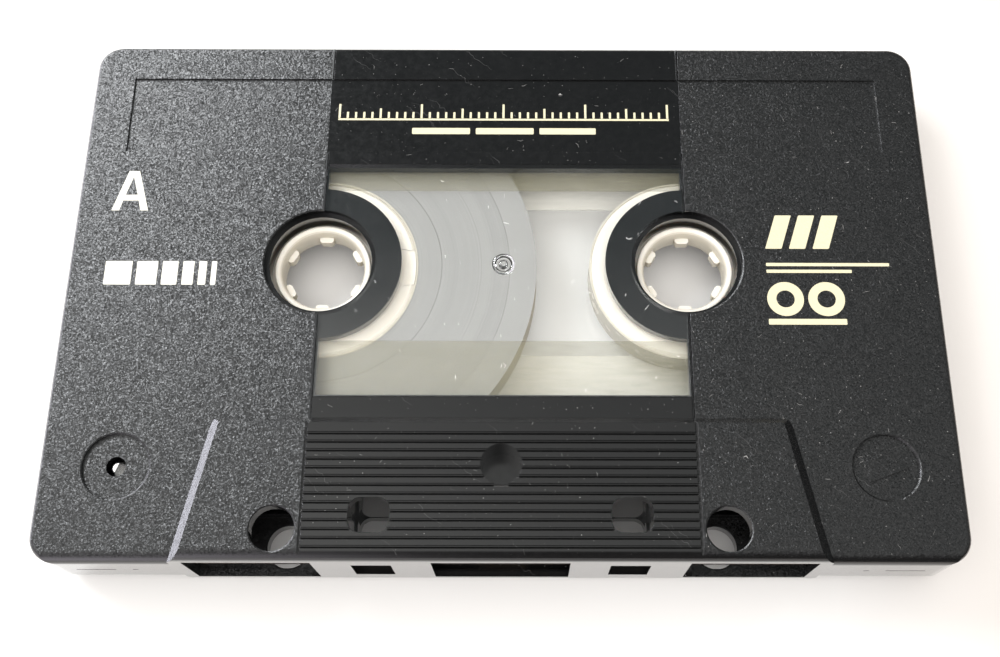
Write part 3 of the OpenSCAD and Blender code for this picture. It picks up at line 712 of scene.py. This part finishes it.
def felt_pad():
    """Rounded felt block with a slightly uneven, fibrous skin, inside its CAD box."""
    low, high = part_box("pressure_pad")
    size, centre = high - low, (low + high) / 2
    bm = bmesh.new()
    bmesh.ops.create_cube(bm, size=1.0)
    bmesh.ops.scale(bm, vec=size, verts=bm.verts)
    bmesh.ops.bevel(bm, geom=bm.edges[:], offset=0.22 * MM, segments=3, profile=0.5, affect="EDGES")
    bmesh.ops.triangulate(bm, faces=bm.faces[:])
    bmesh.ops.subdivide_edges(bm, edges=bm.edges[:], cuts=3, use_grid_fill=True)
    for v in bm.verts:
        v.co *= 1 - 0.025 * abs(noise.noise(v.co * 2600))
        v.co += centre
    return new_object("felt_pad", bm, felt, "pad")


pad = felt_pad()
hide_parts("pressure_pad")


def leaf_spring():
    """Thin strip that runs flat behind the pad, then leans back in soft bends to its two feet."""
    low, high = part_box("pad_spring")
    thick = 0.15 * MM
    bm = bmesh.new()
    rows = []
    count = 96
    for i in range(count + 1):
        x = low.x + (high.x - low.x) * i / count
        t = min(1.0, max(0.0, (abs(x) - 3.1 * MM) / (6.4 * MM)))
        t = t * t * (3 - 2 * t)
        y = low.y + (high.y - thick - low.y) * t
        rows.append([bm.verts.new(p) for p in (
            (x, y, low.z), (x, y + thick, low.z), (x, y + thick, high.z), (x, y, high.z)
        )])
    for a, b in zip(rows, rows[1:]):
        for k in range(4):
            bm.faces.new((a[k], a[(k + 1) % 4], b[(k + 1) % 4], b[k]))
    bm.faces.new(rows[0])
    bm.faces.new(rows[-1])
    return new_object("leaf_spring", bm, spring_metal, "case")


spring = leaf_spring()
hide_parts("pad_spring")
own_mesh(spring)

# ---------- Floor, light and camera ----------

# The cassette rests on the back of its head block and on its back edge, so the floor leans a little
block_back = -16.95 * MM
body_back = cad_box[1].y - 0.6 * MM
floor_drop = 0.02 * MM
rise = MID_Z - HALF_BODY * MM
slope = math.atan2(rise, body_back - block_back)
floor_mesh = bpy.data.meshes.new("floor")
bm = bmesh.new()
bmesh.ops.create_grid(bm, x_segments=8, y_segments=8, size=3.0)
bmesh.ops.transform(
    bm,
    matrix=Matrix.Translation((0, block_back, -floor_drop)) @ Matrix.Rotation(slope, 4, "X"),
    verts=bm.verts,
)
bm.to_mesh(floor_mesh)
bm.free()
floor_mesh.materials.append(floor_material())
floor = bpy.data.objects.new("floor", floor_mesh)
bpy.context.scene.collection.objects.link(floor)


def area_light(name, place, target, width, height, power, colour):
    data = bpy.data.lights.new(name, "AREA")
    data.shape = "RECTANGLE"
    data.size, data.size_y = width, height
    data.energy = power
    data.color = colour
    lamp = bpy.data.objects.new(name, data)
    lamp.location = place
    lamp.rotation_euler = (Vector(target) - Vector(place)).to_track_quat("-Z", "Y").to_euler()
    bpy.context.scene.collection.objects.link(lamp)
    return lamp


area_light("window_light", (-0.50, 0.40, 0.66), (0.0, 0.0, 0.0), 0.36, 0.30, 4.0, (0.95, 0.975, 1.0))

# These two only show as highlights
for name, place, width, height, power, colour in (
    ("sheen_light", (-0.49, 0.66, 0.50), 0.36, 0.30, 12.5, (0.95, 0.975, 1.0)),
    ("low_glow", (-0.85, 0.37, 0.06), 0.8, 0.18, 6.0, (0.90, 0.90, 1.0)),
):
    area_light(name, place, (0.0, 0.0, 0.0), width, height, power, colour).visible_diffuse = False


def studio_world():
    """Bright warm fill from the room, dimmer walls and ceiling in the reflections, and a plain backdrop."""
    made = bpy.data.worlds.new("studio")
    made.use_nodes = True
    tree = made.node_tree
    tree.nodes.clear()

    def add(kind, inputs, **props):
        node = tree.nodes.new(kind)
        for key, value in props.items():
            setattr(node, key, value)
        for key, value in inputs.items():
            if isinstance(value, bpy.types.NodeSocket):
                tree.links.new(value, node.inputs[key])
            else:
                node.inputs[key].default_value = value
        return node

    def blend(share, a, b):
        pair = {k: v if isinstance(v, bpy.types.NodeSocket) else (*v, 1) for k, v in (("A", a), ("B", b))}
        return add("ShaderNodeMix", {"Factor": share, **pair}, data_type="RGBA").outputs["Result"]

    def between(value, low, high):
        inputs = {0: value, 1: low, 2: high}
        return add("ShaderNodeMapRange", inputs, interpolation_type="SMOOTHSTEP").outputs[0]

    way = add("ShaderNodeSeparateXYZ", {0: tree.nodes.new("ShaderNodeTexCoord").outputs["Generated"]}).outputs
    zenith = blend(between(way[0], -0.25, 0.15), (2.1, 2.1, 2.05), (1.15, 1.17, 1.16))
    overhead = blend(between(way[1], 0.2, 0.45), zenith, (0.20, 0.235, 0.25))
    walls = blend(between(way[1], -0.1, 0.4), (0.30, 0.28, 0.27), (0.85, 0.83, 0.80))
    walls = blend(between(way[0], -0.15, -0.5), walls, (1.0, 0.96, 1.04))
    walls = blend(between(way[0], 0.25, 0.55), walls, (0.05, 0.05, 0.055))
    seen = blend(between(way[2], 0.3, 0.6), walls, overhead)
    front = blend(between(way[0], -0.38, -0.02), (1.9, 1.8, 1.95), (0.08, 0.075, 0.075))
    seen = blend(between(way[1], -0.15, -0.45), seen, front)
    fill = blend(between(way[0], -0.5, 0.8), (0.86, 0.85, 0.85), (0.42, 0.34, 0.28))
    fill = blend(between(way[1], 0.3, -0.6), fill, (1.95, 1.88, 1.81))
    fill = blend(between(way[2], 0.6, 0.97), fill, (2.0, 1.94, 1.88))
    path = tree.nodes.new("ShaderNodeLightPath")
    lit = blend(path.outputs["Is Diffuse Ray"], seen, fill)
    lit = blend(path.outputs["Is Camera Ray"], lit, (0.97, 0.965, 0.96))
    back = add("ShaderNodeBackground", {0: lit, 1: 1.0})
    add("ShaderNodeOutputWorld", {0: back.outputs[0]})
    return made


bpy.context.scene.world = studio_world()
bpy.context.scene.view_settings.view_transform = "Standard"

camera_data = bpy.data.cameras.new("camera")
camera_data.sensor_width = 36.0
camera_data.lens = 44.18
camera_data.shift_x = -0.0295
camera_data.shift_y = -0.0066
camera_data.clip_start = 0.005
camera_data.clip_end = 20.0
camera = bpy.data.objects.new("camera", camera_data)
camera.location = (0.00262, -0.05514, 0.14008)
camera.rotation_euler = (math.radians(21.27), math.radians(-0.20), math.radians(0.06))
bpy.context.scene.collection.objects.link(camera)
bpy.context.scene.camera = camera
